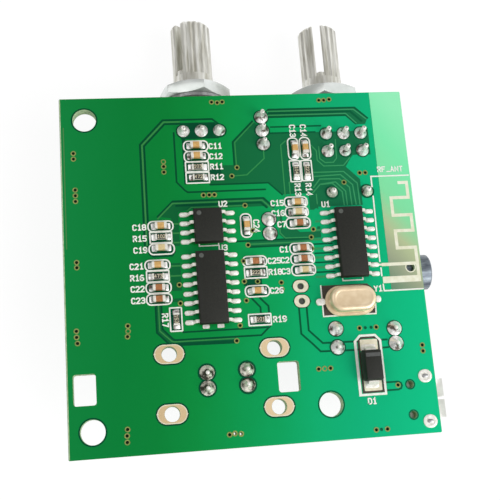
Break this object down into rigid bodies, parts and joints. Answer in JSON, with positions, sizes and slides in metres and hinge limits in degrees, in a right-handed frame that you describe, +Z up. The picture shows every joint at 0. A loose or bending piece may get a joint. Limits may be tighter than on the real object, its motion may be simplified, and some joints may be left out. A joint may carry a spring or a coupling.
{
  "type": "audio amplifier board",
  "caption": "Small square stereo audio amplifier board, solder side up: chips and soldered pins on top, two knurled rotary controls on one edge, audio jack and power socket on the side.",
  "frame": {"origin": "on the ground under the middle of the outline seen from above", "axes": "+Z up, out of the solder face; +Y towards the knob shafts, along them; +X towards the edge with the jack and the power socket"},
  "size_m": [0.0506, 0.0634, 0.0162],
  "materials": {
    "board_green": "green solder mask over glass laminate, with tinned solder joints",
    "capacitor_tan": "matt tan ceramic with tinned ends",
    "resistor_black": "black glazed top with tinned ends",
    "chip_black": "moulded epoxy, fine texture",
    "crystal_gold": "satin champagne metal",
    "pot_casting": "bare die-cast zinc",
    "pot_wafer": "brown phenolic",
    "pot_steel": "plated sheet steel",
    "shaft_aluminium": "bare turned and knurled aluminium",
    "nut_nickel": "bright nickel plate",
    "washer_steel": "dull plated spring steel",
    "jack_black": "moulded black plastic",
    "usb_steel": "bright plated sheet steel",
    "usb_black": "moulded black plastic",
    "header_white": "ivory moulded nylon",
    "can_black": "shrunk sleeve over an aluminium can"
  },
  "bodies": {
    "board": {"circuit_board": "board_green", "ceramic_capacitor_01": "capacitor_tan", "ceramic_capacitor_02": "capacitor_tan", "ceramic_capacitor_03": "capacitor_tan", "ceramic_capacitor_04": "capacitor_tan", "ceramic_capacitor_05": "capacitor_tan", "ceramic_capacitor_06": "capacitor_tan", "ceramic_capacitor_07": "capacitor_tan", "ceramic_capacitor_08": "capacitor_tan", "ceramic_capacitor_09": "capacitor_tan", "ceramic_capacitor_10": "capacitor_tan", "ceramic_capacitor_11": "capacitor_tan", "ceramic_capacitor_12": "capacitor_tan", "ceramic_capacitor_13": "capacitor_tan", "ceramic_capacitor_14": "capacitor_tan", "ceramic_capacitor_15": "capacitor_tan", "ceramic_capacitor_16": "capacitor_tan", "ceramic_capacitor_17": "capacitor_tan", "ceramic_capacitor_18": "capacitor_tan", "chip_resistor_01": "resistor_black", "chip_resistor_02": "resistor_black", "chip_resistor_03": "resistor_black", "chip_resistor_04": "resistor_black", "chip_resistor_05": "resistor_black", "chip_resistor_06": "resistor_black", "chip_resistor_07": "resistor_black", "chip_resistor_08": "resistor_black", "chip_resistor_09": "resistor_black", "radio_chip": "chip_black", "preamp_chip": "chip_black", "power_chip": "chip_black", "crystal_can": "crystal_gold", "rectifier_diode": "chip_black", "tone_pot_front": "pot_casting", "tone_pot_wafer": "pot_wafer", "tone_pot_cover": "pot_steel", "tone_washer": "washer_steel", "tone_nut": "nut_nickel", "volume_pot_front": "pot_casting", "volume_wafer_front": "pot_wafer", "volume_wafer_rear": "pot_wafer", "volume_switch": "pot_wafer", "volume_pot_cover": "pot_steel", "volume_washer": "washer_steel", "volume_nut": "nut_nickel", "audio_jack": "jack_black", "usb_shell": "usb_steel", "usb_tongue": "usb_black", "line_header": "header_white", "speaker_header_left": "header_white", "speaker_header_right": "header_white", "electrolytic_small_1": "can_black", "electrolytic_small_2": "can_black", "electrolytic_large": "can_black"},
    "tone_shaft": {"tone_shaft": "shaft_aluminium"},
    "volume_shaft": {"volume_shaft": "shaft_aluminium"}
  },
  "joints": [
    {"name": "tone_turn", "type": "hinge", "parent": "board", "child": "tone_shaft", "pos_m": [-0.00598, 0.01635, 0.00546], "axis": [0, 1, 0], "range_deg": [-103, 197]},
    {"name": "volume_turn", "type": "hinge", "parent": "board", "child": "volume_shaft", "pos_m": [0.01388, 0.01535, 0.00546], "axis": [0, 1, 0], "range_deg": [-136, 164]}
  ]
}
